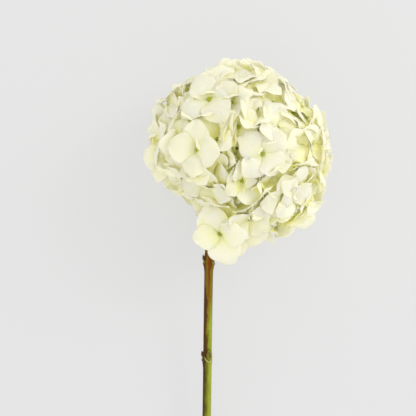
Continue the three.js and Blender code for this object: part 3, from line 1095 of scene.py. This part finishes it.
def sepal_shapes():
    """Each sepal's length, width, cup, curl, trough, skew, lift, rim wave and the wave's phase."""
    shapes = []
    for size, firmness in zip(sizes, firm):
        cup = rng.uniform(0.35, 0.6) if firmness > LOOSE else rng.uniform(0.5, 1.05)
        trough = rng.uniform(-1.5, 2.5)
        for k in range(4):
            length = SEPAL_LENGTH * size * rng.uniform(0.92, 1.08)
            width = length * rng.uniform(0.86, 1.1)
            own_cup, curl = cup + rng.uniform(-0.2, 0.2), rng.uniform(0.5, 1.3)
            skew, lift = rng.uniform(-0.14, 0.14), INNER_LIFT * (k % 2)
            wave, phase = rng.uniform(0.8, 2.4), rng.uniform(0, 2 * math.pi)
            shapes.append((length, width, own_cup, curl, trough, skew, lift, wave, phase))
    return shapes


shapes = sepal_shapes()
overhang = rng.uniform(*OVERHANG, count)
overhang[len(LEADING) - 1] = FREE_OVERHANG  # the last leading floret hangs free in front of the stem
grown, origins, turns = grow(facings, eyes, rolls, shapes, firm, overhang)

COVER_REACH, COVER_FULL = 14.0, 16


def covered(grid):
    """For each grown point, how much lies further out over it, which sets the painted shade: 0 for nothing, 1
    for several sepals.
    """
    points = grid.reshape(-1, 3)
    way = unit(points - HEAD_CENTRE)
    i, j = close_pairs(points, COVER_REACH)
    i, j = np.concatenate([i, j]), np.concatenate([j, i])
    rel = points[j] - points[i]
    out = (rel * way[i]).sum(1)
    lateral = np.sqrt(np.maximum((rel * rel).sum(1) - out * out, 0))
    over = (out > 1.5) & (lateral < 2 + 0.6 * out)
    number = np.bincount(i[over], minlength=len(points))
    return np.clip(number / COVER_FULL, 0, 1).reshape(grid.shape[:-1])


def depth_of(points):
    """0 at the head's surface, 1 well inside it."""
    rel = points - HEAD_CENTRE
    out = np.linalg.norm(rel, axis=1)
    return np.clip((ball_radius(rel / out[:, None]) - 2 - out) / 26, 0, 1)


def eye_bud(radius, roll):
    """An unopened bud: a low knob whose four petals meet in two crossing seams."""
    rings, sides = 9, 16
    t = np.linspace(0.06, 1, rings)
    turn = circle(sides)
    profile = np.sin(t * math.pi * 0.62) / 0.95
    seam = 1 - 0.16 * np.abs(np.cos(2 * (turn - roll)))[None, :] ** 6 * np.sin(t * math.pi * 0.5)[:, None]
    r = radius * profile[:, None] * seam
    z = radius * (1.25 * np.cos(t * math.pi * 0.62))[:, None] * (1 - 0.3 * (1 - seam))
    points = np.stack([r * np.cos(turn), r * np.sin(turn), z], -1)[::-1].reshape(-1, 3)
    bottom, top = points[:, 2].min(), points[:, 2].max() * 0.97
    points = np.concatenate([points, [[0, 0, bottom]], [[0, 0, top]]])
    quads, uv = wrapped_grid(rings, sides)
    tri = end_fans(rings, sides)
    height = (points[:, 2] - points[:, 2].min()) / np.ptp(points[:, 2])
    return points, [quads, tri], [uv, small_triangles(len(tri))], height


EYE_RADII, EYE_LIFT = (1.8, 2.2), 0.9
EYE_TILE = (0.01, 0.81, 0.19, 0.99)
PEDICEL_STEPS, PEDICEL_SIDES = 12, 8
PEDICEL_RADIUS, PEDICEL_LIFT = 0.62, 0.5
PEDICEL_TILE, PEDICEL_END_TILE = (0.21, 0.81, 0.9, 0.99), (0.91, 0.81, 0.99, 0.99)
MOST_COVER = 0.9
cover = covered(grown)


def add_sepals(piece, f):
    for k in range(4):
        points = fine_sepal(grown[f, k], rng.uniform(0, 2 * math.pi, 3))
        upper = (0.25 * k, 0.0, 0.25 * k + 0.25, 0.4)
        lower = (0.25 * k, 0.4, 0.25 * k + 0.25, 0.8)
        # Painted shade: how far other sepals cover this one goes into depth, which the sepal look turns
        # yellow-green
        painted_shade_cover = np.clip(SPREAD @ cover[f, k] @ SPREAD.T, 0, MOST_COVER).ravel()
        piece.add(
            points,
            SHEET_FACES,
            0,
            [in_tile(uv, tile) for uv, tile in zip(SHEET_UVS, (upper, lower, upper))],
            along=np.tile(((FINE_ALONG + 1) / 2).ravel(), 2),
            rim=np.tile(RIM.ravel(), 2),
            fan=np.tile(FAN.ravel(), 2),
            depth=np.maximum(depth_of(points), np.tile(painted_shade_cover, 2)),
            tone=rng.uniform(0, 1),
        )


def add_eye(piece, f):
    points, faces, uvs, height = eye_bud(rng.uniform(*EYE_RADII), rolls[f] + math.pi / 4)
    points = origins[f] + (points + np.array([0, 0, EYE_LIFT])) @ turns[f].T
    uvs = [in_tile(uv, EYE_TILE) for uv in uvs]
    piece.add(points, faces, 1, uvs, along=height, tone=rng.uniform(0, 1))


def add_pedicel(piece, f):
    """A CAD floret's pedicel starts at its own twig's end, another's a little before that."""
    twig = paths[branch_of[f]]
    root = twig[-1] - ways[f] * 0.5 if f < cad_count else twig[-2] * 0.5 + twig[-3] * 0.5
    base = origins[f] + turns[f] @ np.array([0, 0, PEDICEL_LIFT])
    pull = 0.35 * np.linalg.norm(base - root)
    path = bezier(root, root + pull * ways[f], base - turns[f][:, 2] * pull, base, PEDICEL_STEPS)
    t = np.linspace(0, 1, PEDICEL_STEPS)
    radii = PEDICEL_RADIUS + 0.2 * bell(t, 0.1) + 1.15 * bell(1 - t, 0.09)
    points, faces, uvs = tube(path, radii, PEDICEL_SIDES)
    uvs = [in_tile(uvs[0], PEDICEL_TILE), in_tile(uvs[1], PEDICEL_END_TILE)]
    piece.add(points, faces, 2, uvs, along=np.append(np.repeat(t, PEDICEL_SIDES), [0, 1]))


for f in range(count):
    piece = Piece()
    add_sepals(piece, f)
    add_eye(piece, f)
    add_pedicel(piece, f)
    name = FLORET_NODES[f] + "_bloom" if f < cad_count else f"inner_floret_{f - cad_count + 1:02d}"
    obj = piece.make(name, [SEPAL, EYE, PEDICEL], with_uv=True)
    if f < cad_count:
        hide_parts(FLORET_NODES[f])

# ---------- stage, light and camera


def area_light(name, offset, size, power):
    """A soft lamp at an offset from the head's centre, aimed at that."""
    data = bpy.data.lights.new(name, "AREA")
    data.shape = "DISK"
    data.size = size
    data.energy = power
    obj = in_scene(name, data)
    obj.location = centre + np.array(offset)
    obj.rotation_euler = (Vector(centre) - obj.location).to_track_quat("-Z", "Y").to_euler()


def inner_glow(power, size, tint):
    """A weak lamp in the head's middle, as strong on far sepals as on near ones."""
    data = bpy.data.lights.new("inner_glow", "POINT")
    data.energy, data.shadow_soft_size, data.color = power, size, tint
    data.use_nodes = True
    tree = data.node_tree
    falloff = tree.nodes.new("ShaderNodeLightFalloff")
    falloff.inputs["Strength"].default_value = 1.0
    tree.links.new(falloff.outputs["Constant"], tree.nodes["Emission"].inputs["Strength"])
    in_scene("inner_glow", data).location = centre


FLOOR_HALF = 6
floor_look = Nodes("floor", Base_Color=(0.23, 0.23, 0.23), Roughness=0.9, Emission_Strength=0.44)
floor_look.to("Emission Color", (1, 1, 1))
floor_mesh = bpy.data.meshes.new("floor")
corners = [(x * FLOOR_HALF, y * FLOOR_HALF, 0) for x, y in ((-1, -1), (1, -1), (1, 1), (-1, 1))]
floor_mesh.from_pydata(corners, [], [(0, 1, 2, 3)])
floor_mesh.materials.append(floor_look.material)
in_scene("floor", floor_mesh)

world = bpy.data.worlds.new("studio")
bpy.context.scene.world = world
world.use_nodes = True
sky = world.node_tree.nodes["Background"]
sky.inputs["Color"].default_value = (1, 1, 1, 1)
sky.inputs["Strength"].default_value = 0.985

centre = HEAD_CENTRE * MM
area_light("key", (1.2, 0.6, 1.1), 0.9, 11)
inner_glow(45, 0.03, (1.0, 0.98, 0.85))
area_light("fill", (-1.2, -0.2, 1.2), 1.2, 0.5)

# The camera looks straight down, on a frame this wide at the height of the head's centre, in metres.
FRAME_WIDTH = 0.3744
FRAME_RIGHT, FRAME_UP = -0.0288, -0.0549
LENS, SENSOR = 85.0, 36.0
DISTANCE = FRAME_WIDTH * LENS / SENSOR
GAMMA = 1.4
camera_data = bpy.data.cameras.new("camera")
camera_data.lens = LENS
camera_data.sensor_width = SENSOR
camera_data.clip_start = 0.01
camera = in_scene("camera", camera_data)
camera.location = centre + np.array([FRAME_RIGHT, FRAME_UP, DISTANCE])
bpy.context.scene.camera = camera
view = bpy.context.scene.view_settings
view.view_transform = "Standard"
view.gamma = GAMMA
